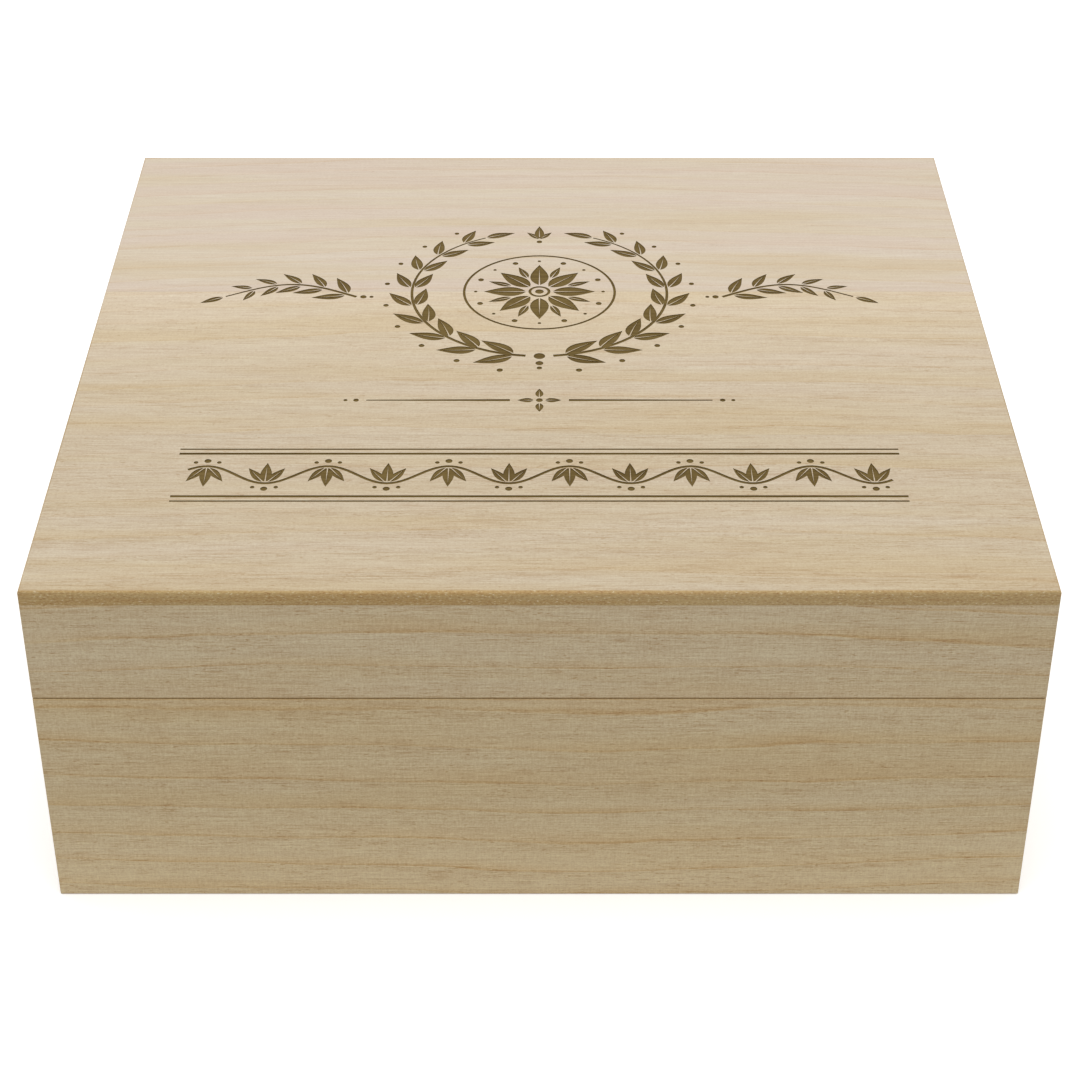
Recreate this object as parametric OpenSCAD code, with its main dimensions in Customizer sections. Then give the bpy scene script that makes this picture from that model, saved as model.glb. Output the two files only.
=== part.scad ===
// Keepsake box of pale boards with a hinged lid.
// The origin is the centre of the footprint, on the table. The front faces -Y, and the hinges are behind.
// The walls are lapped at the corners, the bottom panel lies in a groove, and the lid's panel is glued on.
// Both back edges are bevelled, so that the open lid stops just past upright with no stay.

/* [Box] */
// Outside width, left to right
box_w = 300; // [240:5:360]
// Outside depth, front to back
box_d = 284; // [220:2:340]
// Height of the base, from the table to its rim
base_h = 77.6; // [60:0.1:120]
// Height of the lid, from its rim to its upper face
lid_h = 38.5; // [28:0.1:60]
// Gap between the two rims when the lid is shut
seam_gap = 0.3; // [0.2:0.05:0.6]

/* [Boards] */
// Thickness of the wall boards of base and lid
wall_t = 10; // [9.5:0.5:14]
// Thickness of the lid's panel
panel_t = 4.5; // [3.5:0.5:8]
// Thickness of the bottom panel
bottom_t = 4; // [3:0.5:6]
// Height of the bottom panel's underside above the table
bottom_rise = 4.5; // [3:0.5:10]
// Depth of the groove that holds the bottom panel
groove_depth = 4; // [2:0.5:5]
// Room round the bottom panel's edges and above it, inside the groove
groove_room = 0.2; // [0.1:0.05:0.5]
// Wood left outside each side board's end, where it laps into the front and back boards
corner_lip = 4; // [3:0.5:6]
// Width of the lid panel's rear board
rear_board_w = 106; // [70:1:120]
// Width of the lid panel's front board
front_board_w = 85; // [60:1:100]

/* [Eased edges] */
// Radius along the lid panel's front and back edges
panel_edge_r = 1.6; // [0.5:0.1:2]
// Radius along the other outer edges
edge_r = 0.6; // [0.3:0.1:1.5]
// Radius along the outer edges of the two rims
rim_r = 0.4; // [0.2:0.1:0.8]

/* [Back bevels] */
// Distance of the hinge line from the back face
pin_inset = 3; // [2.6:0.1:3.6]
// Angle at which the bevels meet and stop the lid
open_angle = 100; // [92:1:115]
// Room left between the bevels when the lid stands open
stop_room = 0.1; // [0.05:0.05:0.4]

/* [Hinges] */
// Length of a hinge along its knuckles
hinge_len = 32; // [24:1:50]
// Distance from the side of the box to the near end of a hinge
hinge_from_side = 38; // [20:1:80]
// Thickness of a leaf
leaf_t = 0.9; // [0.8:0.1:1.4]
// Distance from a leaf's long edge to the inner face of the wall
leaf_setback = 0.5; // [0.3:0.1:1.2]
// Outer radius of the knuckles
knuckle_r = 2; // [1.8:0.1:2.4]
// Number of knuckles on one hinge, the base leaf taking the odd ones
knuckle_count = 5; // [3:2:7]
// Gap between neighbouring knuckles
knuckle_gap = 0.15; // [0.1:0.05:0.4]
// Radius of the hinge pin
pin_r = 0.9; // [0.7:0.1:1.1]
// Room round the pin inside the knuckles
pin_room = 0.04; // [0.02:0.01:0.08]
// Radius of the pin's riveted heads
pin_head_r = 1.5; // [1.3:0.1:1.7]
// Thickness of the pin's riveted heads
pin_head_t = 0.6; // [0.4:0.1:1]
// Room round the hinge in its recess
recess_room = 0.25; // [0.15:0.05:0.5]

/* [Screws] */
// Number of screws on each leaf
screws_per_leaf = 2; // [2:1:3]
// Distance between the outer screws of a leaf
screw_span = 19; // [14:1:28]
// Overall length of a screw
screw_len = 9; // [6:0.5:12]
// Radius of a screw's shank
screw_r = 0.8; // [0.6:0.1:1]
// Radius of a screw's countersunk head
screw_head_r = 1.6; // [1.4:0.1:1.9]
// Width of the cross slot's arms
slot_w = 0.45; // [0.3:0.05:0.6]
// Depth of the cross slot
slot_depth = 0.5; // [0.3:0.1:0.7]
// Room round a screw in its hole
screw_room = 0.05; // [0.03:0.01:0.1]

/* [Hidden] */
$fn = 48;

wood = "burlywood";
panel_wood = "tan";
brass = "darkgoldenrod";
screw_brass = "goldenrod";

// Cutting tools run this far past the faces that they cut
over = 1;

lid_z = base_h + seam_gap;
lid_top = lid_z + lid_h;
rail_h = lid_h - panel_t;
side_len = box_d - 2 * corner_lip;
middle_board_w = box_d - rear_board_w - front_board_w;

// The hinge line, and the bevels that fall away from it towards the back
pin_y = box_d / 2 - pin_inset;
pin_z = base_h + seam_gap / 2;
bevel_slope = open_angle / 2;
bevel_shift = stop_room / 2 / cos(bevel_slope);

hinge_x = box_w / 2 - hinge_from_side - hinge_len / 2;
leaf_w = wall_t - pin_inset - leaf_setback;
knuckle_pitch = hinge_len / knuckle_count;
knuckle_len = knuckle_pitch - knuckle_gap;
recess_r = knuckle_r + recess_room;
pin_half = hinge_len / 2 + pin_room;
recess_half = pin_half + pin_head_t + recess_room;

// The screws stand midway across the flat part of the leaf
screw_line = (recess_r + leaf_w) / 2;
screw_head_t = screw_head_r - screw_r;
screw_tip = 2 * screw_r;
screw_xs = [for (i = [0:screws_per_leaf - 1]) (i / (screws_per_leaf - 1) - 0.5) * screw_span];
hinge_xs = [-hinge_x, hinge_x];

// What comes off a square corner at the origin to round it.
module corner_waste(r) {
    difference() {
        translate([-over, -over]) square(r + over);
        translate([r, r]) circle(r);
    }
}

// A rectangle w wide from y0 to y1, with its lower corners rounded by r_low and its upper ones by r_high.
module eased_rectangle(w, y0, y1, r_low, r_high) {
    difference() {
        translate([-w / 2, y0]) square([w, y1 - y0]);
        for (side = [0, 1])
            mirror([side, 0]) {
                translate([-w / 2, y0]) corner_waste(r_low);
                translate([-w / 2, y1]) mirror([0, 1]) corner_waste(r_high);
            }
    }
}

// The outline of the base or the lid from z0 to z1 as one block, less the side view given as a child.
// Its lower edges are rounded by r_low, its upper ones by long_r at front and back and short_r at the sides.
module eased_block(z0, z1, r_low, long_r, short_r) {
    intersection() {
        rotate([90, 0, 90])
            linear_extrude(box_w + 2 * over, center = true)
                difference() {
                    eased_rectangle(box_d, z0, z1, r_low, long_r);
                    translate([pin_y, pin_z]) children();
                }
        rotate([90, 0, 0])
            linear_extrude(box_d + 2 * over, center = true)
                eased_rectangle(box_w, z0, z1, r_low, short_r);
        translate([0, 0, z0 - over])
            linear_extrude(z1 - z0 + 2 * over)
                eased_rectangle(box_w, -box_d / 2, box_d / 2, edge_r, edge_r);
    }
}

// Side view of the wood that the stop bevel takes off the base, with the hinge line at the origin.
module bevel_waste() {
    run = pin_inset + over;
    polygon([
        [0, -bevel_shift],
        [run, -bevel_shift - run * tan(bevel_slope)],
        [run, over],
        [0, over]
    ]);
}

module base_block() {
    eased_block(0, base_h, edge_r, rim_r, rim_r) bevel_waste();
}

module lid_block() {
    eased_block(lid_z, lid_top, rim_r, panel_edge_r, edge_r) mirror([0, 1]) bevel_waste();
}

// A front wall from z upwards before it is eased, lapped at both ends to take the side walls.
module lapped_board(z, height) {
    difference() {
        translate([-box_w / 2, -box_d / 2, z])
            cube([box_w, wall_t, height]);
        for (side = [0, 1])
            mirror([side, 0, 0])
                translate([box_w / 2 - wall_t, -box_d / 2 + corner_lip, z - over])
                    cube([wall_t + over, wall_t, height + 2 * over]);
    }
}

// A right side wall from z upwards before it is eased.
module side_board(z, height) {
    translate([box_w / 2 - wall_t, -side_len / 2, z])
        cube([wall_t, side_len, height]);
}

// A slab at the bottom panel's height that reaches this far into all four walls.
module bottom_slab(reach, height) {
    slab_w = box_w - 2 * (wall_t - reach);
    slab_d = box_d - 2 * (wall_t - reach);
    translate([-slab_w / 2, -slab_d / 2, bottom_rise])
        cube([slab_w, slab_d, height]);
}

module groove() {
    bottom_slab(groove_depth, bottom_t + groove_room);
}

// What the hinges take out of the base's back wall, with the hinge line along X at the origin:
// a seat for each leaf, open to the inside, a trough for the knuckles, and pilot holes for the screws.
module hinge_cuts() {
    for (x = hinge_xs)
        translate([x, 0, 0]) {
            translate([-hinge_len / 2 - recess_room, pin_inset - wall_t - over, -seam_gap / 2 - leaf_t])
                cube([hinge_len + 2 * recess_room, wall_t - pin_inset + over, leaf_t + over]);
            translate([-recess_half, 0, 0])
                rotate([0, 90, 0]) cylinder(r = recess_r, h = 2 * recess_half);
            for (screw_x = screw_xs)
                translate([screw_x, -screw_line, -seam_gap / 2 - screw_len - screw_room])
                    cylinder(r = screw_r + screw_room, h = screw_len);
        }
}

module base_front_board() {
    color(wood)
        difference() {
            intersection() {
                base_block();
                lapped_board(0, base_h);
            }
            groove();
        }
}

module base_back_board() {
    color(wood)
        difference() {
            intersection() {
                base_block();
                mirror([0, 1, 0]) lapped_board(0, base_h);
            }
            groove();
            translate([0, pin_y, pin_z]) hinge_cuts();
        }
}

module base_right_board() {
    color(wood)
        difference() {
            intersection() {
                base_block();
                side_board(0, base_h);
            }
            groove();
        }
}

module base_left_board() {
    mirror([1, 0, 0]) base_right_board();
}

module bottom_panel() {
    color(wood)
        bottom_slab(groove_depth - groove_room, bottom_t);
}

module lid_front_rail() {
    color(wood)
        intersection() {
            lid_block();
            lapped_board(lid_z, rail_h);
        }
}

module lid_back_rail() {
    color(wood)
        difference() {
            intersection() {
                lid_block();
                mirror([0, 1, 0]) lapped_board(lid_z, rail_h);
            }
            translate([0, pin_y, pin_z]) mirror([0, 0, 1]) hinge_cuts();
        }
}

module lid_right_rail() {
    color(wood)
        intersection() {
            lid_block();
            side_board(lid_z, rail_h);
        }
}

module lid_left_rail() {
    mirror([1, 0, 0]) lid_right_rail();
}

// One of the boards that are glued edge to edge into the lid's panel, starting this far behind the front.
module lid_panel_board(start, width) {
    color(panel_wood)
        intersection() {
            lid_block();
            translate([-box_w / 2, start - box_d / 2, lid_top - panel_t])
                cube([box_w, width, panel_t]);
        }
}

module lid_panel_front_board() {
    lid_panel_board(0, front_board_w);
}

module lid_panel_middle_board() {
    lid_panel_board(front_board_w, middle_board_w);
}

module lid_panel_rear_board() {
    lid_panel_board(front_board_w + middle_board_w, rear_board_w);
}

// A leaf flush with the base's rim, with every other knuckle from this one on, round the hinge line.
module leaf(first_knuckle) {
    difference() {
        union() {
            translate([-hinge_len / 2 + knuckle_gap / 2, -leaf_w, -seam_gap / 2 - leaf_t])
                cube([hinge_len - knuckle_gap, leaf_w - recess_r, leaf_t]);
            for (i = [first_knuckle:2:knuckle_count - 1])
                translate([-hinge_len / 2 + i * knuckle_pitch + knuckle_gap / 2, 0, 0]) {
                    rotate([0, 90, 0]) cylinder(r = knuckle_r, h = knuckle_len);
                    translate([0, -leaf_w, -seam_gap / 2 - leaf_t])
                        cube([knuckle_len, leaf_w, leaf_t]);
                }
        }
        translate([-hinge_len / 2 - over, 0, 0])
            rotate([0, 90, 0]) cylinder(r = pin_r + pin_room, h = hinge_len + 2 * over);
        for (x = screw_xs)
            translate([x, -screw_line, -seam_gap / 2])
                screw_hole();
    }
}

// A countersunk hole through a leaf whose face is at the origin.
module screw_hole() {
    translate([0, 0, -leaf_t - over])
        cylinder(r = screw_r + screw_room, h = leaf_t + 2 * over);
    translate([0, 0, -screw_head_t - screw_room])
        cylinder(r1 = screw_r, r2 = screw_head_r + screw_room, h = screw_head_t + screw_room);
}

module base_leaf(x) {
    color(brass)
        translate([x, pin_y, pin_z]) leaf(0);
}

module lid_leaf(x) {
    color(brass)
        translate([x, pin_y, pin_z]) mirror([0, 0, 1]) leaf(1);
}

// A pin with a riveted head at each end.
module hinge_pin(x) {
    color(brass)
        translate([x, pin_y, pin_z])
            rotate([0, 90, 0]) {
                cylinder(r = pin_r, h = 2 * pin_half, center = true);
                for (end = [0, 1])
                    mirror([0, 0, end])
                        translate([0, 0, pin_half])
                            cylinder(r1 = pin_head_r, r2 = pin_r, h = pin_head_t);
            }
}

// A countersunk screw that points down, with the top of its head at the origin.
module screw() {
    difference() {
        rotate_extrude()
            polygon([
                [0, 0],
                [screw_head_r, 0],
                [screw_r, -screw_head_t],
                [screw_r, screw_tip - screw_len],
                [0, -screw_len]
            ]);
        for (turn = [0, 90])
            rotate([0, 0, turn])
                translate([-screw_head_t, -slot_w / 2, -slot_depth])
                    cube([2 * screw_head_t, slot_w, slot_depth + over]);
    }
}

module base_hinge_screws() {
    color(screw_brass)
        for (hinge = hinge_xs, x = screw_xs)
            translate([hinge + x, pin_y - screw_line, base_h])
                screw();
}

module lid_hinge_screws() {
    translate([0, 0, 2 * pin_z]) mirror([0, 0, 1]) base_hinge_screws();
}

base_front_board();
base_back_board();
base_left_board();
base_right_board();
bottom_panel();
lid_front_rail();
lid_back_rail();
lid_left_rail();
lid_right_rail();
lid_panel_front_board();
lid_panel_middle_board();
lid_panel_rear_board();
base_leaf(-hinge_x);  // left_hinge_base_leaf
lid_leaf(-hinge_x);  // left_hinge_lid_leaf
hinge_pin(-hinge_x);  // left_hinge_pin
base_leaf(hinge_x);  // right_hinge_base_leaf
lid_leaf(hinge_x);  // right_hinge_lid_leaf
hinge_pin(hinge_x);  // right_hinge_pin
base_hinge_screws();
lid_hinge_screws();
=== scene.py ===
"""Dresses the keepsake box: bare wood with growth rings, an engraved lid, brass hinges and a white stage.

Every object is in metres, with +X to the right, +Y to the back and +Z up, and the box stands on z = 0.
The grain and the ornament are worked out in millimetres, and turned into metres where they meet the scene.
"""

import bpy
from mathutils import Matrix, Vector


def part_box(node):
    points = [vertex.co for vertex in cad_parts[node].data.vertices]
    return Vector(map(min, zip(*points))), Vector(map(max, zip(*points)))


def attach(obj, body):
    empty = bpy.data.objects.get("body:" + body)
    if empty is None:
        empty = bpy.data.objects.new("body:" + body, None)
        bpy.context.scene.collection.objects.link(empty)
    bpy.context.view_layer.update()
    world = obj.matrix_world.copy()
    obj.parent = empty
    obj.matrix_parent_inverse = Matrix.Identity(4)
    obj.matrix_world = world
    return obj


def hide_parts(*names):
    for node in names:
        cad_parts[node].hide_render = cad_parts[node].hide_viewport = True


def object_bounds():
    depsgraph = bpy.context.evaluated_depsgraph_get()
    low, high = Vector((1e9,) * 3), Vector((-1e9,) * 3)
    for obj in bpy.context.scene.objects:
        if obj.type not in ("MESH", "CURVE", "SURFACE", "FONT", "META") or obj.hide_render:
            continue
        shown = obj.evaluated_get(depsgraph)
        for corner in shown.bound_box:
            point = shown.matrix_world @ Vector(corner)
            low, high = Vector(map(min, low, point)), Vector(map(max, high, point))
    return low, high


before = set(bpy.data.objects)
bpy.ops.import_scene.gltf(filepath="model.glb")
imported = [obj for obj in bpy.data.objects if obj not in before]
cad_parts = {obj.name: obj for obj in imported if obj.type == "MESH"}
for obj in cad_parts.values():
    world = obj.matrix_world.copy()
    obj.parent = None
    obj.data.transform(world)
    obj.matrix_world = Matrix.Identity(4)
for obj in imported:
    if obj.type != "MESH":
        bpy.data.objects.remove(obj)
CAD_BOX = [list(corner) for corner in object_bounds()]

import math
from types import SimpleNamespace

import bpy
from bpy.props import FloatProperty, FloatVectorProperty, IntProperty, PointerProperty
from bpy.types import Operator, Panel, PropertyGroup
from mathutils import Vector
from mathutils.geometry import delaunay_2d_cdt

bl_info = {
    "name": "Keepsake Box",
    "version": (1, 0, 0),
    "blender": (4, 5, 0),
    "location": "3D View > Sidebar > Keepsake Box",
    "description": "Finishes a wooden keepsake box with an engraved lid and sets a stage for it",
    "category": "Object",
}

MM = 0.001
BOX_LOW, BOX_HIGH = (Vector(corner) for corner in CAD_BOX)
ALONG_WIDTH, ALONG_DEPTH, UPWARDS = (1.0, 0.0, 0.0), (0.0, 1.0, 0.0), (0.0, 0.0, 1.0)
ORIGIN = (0.0, 0.0, 0.0)
WHITE, BLACK = (1.0, 1.0, 1.0, 1.0), (0.0, 0.0, 0.0, 1.0)

# Cells of noise per millimetre along the grain, across it and through the board
SLOW_DRIFT = (0.009, 0.022, 0.022)
QUICK_DRIFT = (0.035, 0.16, 0.16)
PORE_PATCHES = (0.03, 0.2, 0.2)
LONG_PORES = (0.11, 4.0, 4.0)
SHORT_PORES = (0.65, 3.8, 3.8)
GOLD_STREAKS = (0.006, 0.085, 0.085)
FINE_BANDS = (0.012, 0.45, 0.45)
SANDING_MARKS = (2.6, 0.35, 0.35)
GRIT = (2.4, 2.4, 2.4)
TORN_WOOD = (1.1, 2.9, 2.9)

# The cells of the long, the middling and the short fibres, each with its share
FIBRES = (((0.035, 2.6, 2.6), 0.33), ((0.2, 3.2, 3.2), 0.27), ((1.1, 3.6, 3.6), 0.4))

# How much a fibre changes the red, green and blue of the wood: dark fibres are warmer
FIBRE_SHARES = (0.68, 1.0, 1.25)

# Cells of noise per metre in the engraving and on the brass
SCORCHED_STREAKS = (60.0, 1100.0, 1100.0)
SCORCHED_BLOTCHES = (25.0, 90.0, 90.0)
TARNISH_BLOOMS = (240.0, 240.0, 240.0)


# Settings that a user would change


def colour_setting(name, description, srgb):
    """A colour that is written as the eye sees it, from 0 to 255, and kept as linear light."""
    return FloatVectorProperty(
        name=name, description=description, subtype="COLOR", size=3, min=0, max=1,
        default=tuple(linear(channel / 255) for channel in srgb),
    )


def size_setting(name, description, millimetres, low, high):
    """A length that is written in millimetres and kept in metres."""
    return FloatProperty(
        name=name, description=description, unit="LENGTH", precision=5,
        default=millimetres * MM, min=low * MM, max=high * MM,
    )


def count_setting(name, description, count, low, high):
    """A whole number of pieces."""
    return IntProperty(name=name, description=description, default=count, min=low, max=high)


def strength_setting(name, description, strength, high):
    """A plain number from 0 upwards."""
    return FloatProperty(name=name, description=description, default=strength, min=0, max=high)


def angle_setting(name, description, degrees, low, high):
    """An angle that is written in degrees and kept in radians."""
    return FloatProperty(
        name=name, description=description, unit="ROTATION",
        default=math.radians(degrees), min=math.radians(low), max=math.radians(high),
    )


def in_millimetres(settings):
    """A group's lengths in millimetres, and its counts, by their names."""
    values = {name: getattr(settings, name) for name in settings.__annotations__}
    return SimpleNamespace(**{
        name: value / MM if isinstance(value, float) else value for name, value in values.items()
    })


def linear(channel):
    """Linear light of an sRGB channel between 0 and 1."""
    return channel / 12.92 if channel <= 0.04045 else ((channel + 0.055) / 1.055) ** 2.4


class KeepsakeWood(PropertyGroup):
    """Colours and grain of the bare boards."""

    pale: colour_setting("Pale wood", "Main colour of the palest boards", (227, 213, 193))
    golden: colour_setting("Golden wood", "Main colour of the yellowest boards", (214, 194, 156))
    warm: colour_setting("Warm streaks", "Tint of the broad warm streaks", (252, 248, 240))
    rosy: colour_setting("Rosy streaks", "Tint of the broad rosy streaks", (252, 247, 248))
    late: colour_setting("Late wood", "Tint towards the end of each year's growth", (252, 244, 232))
    line: colour_setting("Ring line", "Tint of the thin line that ends a year", (247, 238, 222))
    pore: colour_setting("Pores", "Tint of the fine open pores", (224, 206, 186))
    sawn: colour_setting("Sawn edge", "Colour of the lid panel's sawn edges", (202, 170, 111))
    speck: colour_setting("Sawn specks", "Colour of the torn specks in the sawn edges", (236, 218, 178))
    end: colour_setting("End grain", "Colour of the boards' cut ends", (188, 162, 120))
    relief: size_setting("Relief", "Depth of the pores and ring lines", 0.04, 0, 0.5)


class KeepsakeEngraving(PropertyGroup):
    """Sizes and colours of the ornament on the lid."""

    depth: size_setting("Depth", "Depth of the engraving", 0.25, 0.1, 1)
    line: size_setting("Line width", "Width of the thin engraved lines", 1.1, 0.4, 2)
    gap: size_setting("Bare gap", "Bare wood left along each leaf's midrib", 0.4, 0.2, 1)
    wreath_radius: size_setting("Wreath radius", "Radius of the wreath's stems", 44, 30, 60)
    wreath_back: size_setting(
        "Wreath position", "Distance of the wreath's centre behind the lid's centre", 36, 0, 60)
    wreath_leaves: count_setting("Wreath leaves", "Pairs of leaves on each half", 9, 4, 16)
    petals: count_setting("Petals", "Petals of the flower in the wreath", 8, 5, 12)
    frieze_width: size_setting("Frieze width", "Width of the border below the wreath", 224, 120, 260)
    frieze_height: size_setting("Frieze height", "Distance between the border's inner rules", 24, 12, 40)
    frieze_front: size_setting(
        "Frieze position", "Distance of the border's middle before the lid's centre", 80, 50, 110)
    frieze_waves: count_setting("Frieze waves", "Waves of the border's vine", 6, 3, 12)
    scorch: colour_setting("Scorched wood", "Colour of the engraved floor", (117, 97, 52))
    scorch_edge: colour_setting("Scorched streaks", "Colour of the darkest streaks in it", (96, 77, 37))


class KeepsakeBrass(PropertyGroup):
    """Colours of the hinges and screws."""

    bright: colour_setting("Bright brass", "Colour of the rubbed metal", (214, 184, 118))
    dull: colour_setting("Dull brass", "Colour of the tarnished metal", (150, 118, 62))
    brushing: size_setting("Brushing", "Spacing of the brushed lines", 0.12, 0.02, 1)


class KeepsakeStage(PropertyGroup):
    """Camera, light and floor."""

    camera_side: size_setting(
        "Camera side", "Distance of the camera to the right of the box's middle", 0.2, -200, 200)
    camera_distance: size_setting(
        "Camera distance", "Distance of the camera before the box's front face", 582.8, 200, 3000)
    camera_height: size_setting("Camera height", "Height of the camera above the floor", 536, 100, 3000)
    camera_tilt: angle_setting("Camera tilt", "Downward tilt of the camera", 34.547, 0, 90)
    lens: FloatProperty(
        name="Lens", description="Focal length on a 36 mm sensor",
        default=83.42, min=20, max=200, precision=2, unit="CAMERA",
    )
    sky: strength_setting("Sky", "Strength of the light from all round", 0.5, 2)
    key: strength_setting("Key light", "Watts per square metre of the soft light from above", 1.57, 10)
    key_spread: angle_setting("Key spread", "Angle across which the soft light from above comes", 50, 0, 180)
    key_lean: angle_setting("Key lean", "How far the soft light leans towards the front", 4, -90, 90)
    floor_glow: strength_setting(
        "Floor glow", "White light added to the floor as the camera sees it", 0.25, 1)
    floor_bounce: strength_setting(
        "Floor bounce", "Share of its light that the floor throws back on the box", 0.55, 1)


# Helpers for node trees


def feed(tree, node, inputs):
    """Gives a node's inputs, by name or number, a value or another node's output."""
    for name, value in inputs.items():
        if isinstance(value, bpy.types.NodeSocket):
            tree.links.new(value, node.inputs[name])
        else:
            node.inputs[name].default_value = value


def add_node(tree, kind, inputs, **settings):
    """Outputs of a new node."""
    node = tree.nodes.new(kind)
    for name, value in settings.items():
        setattr(node, name, value)
    feed(tree, node, inputs)
    return node.outputs


def use_group(tree, group, inputs):
    """Outputs of a group that is placed in a tree."""
    return add_node(tree, "ShaderNodeGroup", inputs, node_tree=group)


def maths(tree, operation, *values, clamp=False):
    """Output of a Math node."""
    inputs = dict(enumerate(values))
    return add_node(tree, "ShaderNodeMath", inputs, operation=operation, use_clamp=clamp)[0]


def plus(tree, a, b):
    return maths(tree, "ADD", a, b)


def minus(tree, a, b):
    return maths(tree, "SUBTRACT", a, b)


def times(tree, a, b):
    return maths(tree, "MULTIPLY", a, b)


def times_plus(tree, a, b, c, clamp=False):
    """a times b, plus c."""
    return maths(tree, "MULTIPLY_ADD", a, b, c, clamp=clamp)


def smooth_step(tree, value, start, end, low=0.0, high=1.0):
    """Goes smoothly from low to high as value goes from start to end."""
    inputs = {"Value": value, "From Min": start, "From Max": end, "To Min": low, "To Max": high}
    return add_node(tree, "ShaderNodeMapRange", inputs, interpolation_type="SMOOTHSTEP")["Result"]


def vector(tree, x, y, z):
    """A vector from three numbers or outputs."""
    return add_node(tree, "ShaderNodeCombineXYZ", {0: x, 1: y, 2: z})[0]


def parts(tree, value):
    """The three parts of a vector."""
    return add_node(tree, "ShaderNodeSeparateXYZ", {0: value})


def vector_maths(tree, operation, a, b):
    """Vector output of a Vector Math node."""
    return add_node(tree, "ShaderNodeVectorMath", {0: a, 1: b}, operation=operation)["Vector"]


def dot(tree, a, b):
    """Dot product of two vectors."""
    return add_node(tree, "ShaderNodeVectorMath", {0: a, 1: b}, operation="DOT_PRODUCT")["Value"]


def noise(tree, place, cells, seed, detail=2.0, roughness=0.5):
    """Noise from 0 to 1, with that many cells per unit along each axis."""
    inputs = {
        "Vector": vector_maths(tree, "MULTIPLY", place, cells),
        "W": seed, "Scale": 1.0, "Detail": detail, "Roughness": roughness,
    }
    return add_node(tree, "ShaderNodeTexNoise", inputs, noise_dimensions="4D")["Fac"]


def mix(tree, factor, a, b, blend_type="MIX"):
    """Mix of two colours."""
    colour_a, colour_b, colour_out = 6, 7, 2
    inputs = {"Factor": factor, colour_a: a, colour_b: b}
    return add_node(tree, "ShaderNodeMix", inputs, data_type="RGBA", blend_type=blend_type)[colour_out]


def new_group(name, inputs, outputs):
    """A shader node group, its inputs and its output node, from the sockets' names and defaults."""
    group = bpy.data.node_groups.new(name, "ShaderNodeTree")
    for in_out, sockets in (("INPUT", inputs), ("OUTPUT", outputs)):
        for label, default in sockets.items():
            kind = "Float" if isinstance(default, float) else {3: "Vector", 4: "Color"}[len(default)]
            socket = group.interface.new_socket(label, in_out=in_out, socket_type="NodeSocket" + kind)
            socket.default_value = default
    given = group.nodes.new("NodeGroupInput").outputs
    return group, given, group.nodes.new("NodeGroupOutput")


def rgba(colour):
    """An opaque colour."""
    return (*colour, 1.0)


# Effects that several materials share


def grain_position_group():
    """Turns a place on a board into millimetres along the grain, across it and through the board."""
    group, given, out = new_group(
        "Grain position",
        {"Position": ORIGIN, "Along": ALONG_WIDTH, "Across": ALONG_DEPTH},
        {"Grain": ORIGIN},
    )
    through = vector_maths(group, "CROSS_PRODUCT", given["Along"], given["Across"])
    place = [dot(group, given["Position"], axis) for axis in (given["Along"], given["Across"], through)]
    grain = vector_maths(group, "MULTIPLY", vector(group, *place), (1 / MM,) * 3)
    feed(group, out, {"Grain": grain})
    return group


def growth_rings_group():
    """Wavy year rings round a pith line along the board, bowed towards the middle of its length."""
    group, given, out = new_group(
        "Growth rings",
        {
            "Grain": ORIGIN, "Pith across": -200.0, "Pith through": -80.0, "Ring width": 9.0, "Bow": 5.0,
            "Bow turn": -1000.0, "Half length": 150.0, "Waviness": 3.0, "Seed": 0.0,
        },
        {"Phase": 0.0, "Year": 0.0, "Late wood": 0.0, "Line": 0.0},
    )
    turn_reach = 40.0
    quick_share = 0.22
    waviness_to_drift = 3.0
    uneven_years, uneven_cells = 2.2, (0.55, 1.0, 1.0)
    fade_cells, faintest = (0.016, 1.0, 1.0), 0.5

    seed, grain = given["Seed"], given["Grain"]
    along, across, through = parts(group, grain)
    share = maths(group, "DIVIDE", along, given["Half length"])
    arch = minus(group, 1.0, times(group, share, share))
    side = smooth_step(group, minus(group, across, given["Bow turn"]), -turn_reach, turn_reach, -1.0, 1.0)
    bow = times(group, times(group, given["Bow"], arch), side)
    slow = minus(group, noise(group, grain, SLOW_DRIFT, seed, 1.0), 0.5)
    quick = minus(group, noise(group, grain, QUICK_DRIFT, seed), 0.5)
    drift = times_plus(group, quick, quick_share, slow)
    drift = times(group, drift, times(group, given["Waviness"], waviness_to_drift))
    u = minus(group, across, given["Pith across"])
    u = plus(group, plus(group, u, bow), drift)
    v = minus(group, through, given["Pith through"])
    radius = maths(group, "SQRT", plus(group, times(group, u, u), times(group, v, v)))
    rings = maths(group, "DIVIDE", radius, given["Ring width"])
    uneven = noise(group, vector(group, rings, 0.0, 0.0), uneven_cells, seed, 1.0)
    rings = times_plus(group, uneven, uneven_years, rings)
    phase = maths(group, "FRACT", rings)
    year_number = plus(group, maths(group, "FLOOR", rings), seed)
    year = add_node(group, "ShaderNodeTexWhiteNoise", {"W": year_number}, noise_dimensions="1D")["Value"]
    late = smooth_step(group, phase, 0.5, 0.94)
    line = smooth_step(group, phase, 0.89, 0.95)
    year_end = smooth_step(group, phase, 0.96, 1.0, 1.0, 0.0)
    fade = noise(group, vector(group, along, year_number, 0.0), fade_cells, seed, 1.0)
    fade = times(group, smooth_step(group, fade, 0.34, 0.66, faintest, 1.0), year_end)
    feed(group, out, {
        "Phase": phase, "Year": year, "Late wood": times(group, late, fade), "Line": times(group, line, fade),
    })
    return group


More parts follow.
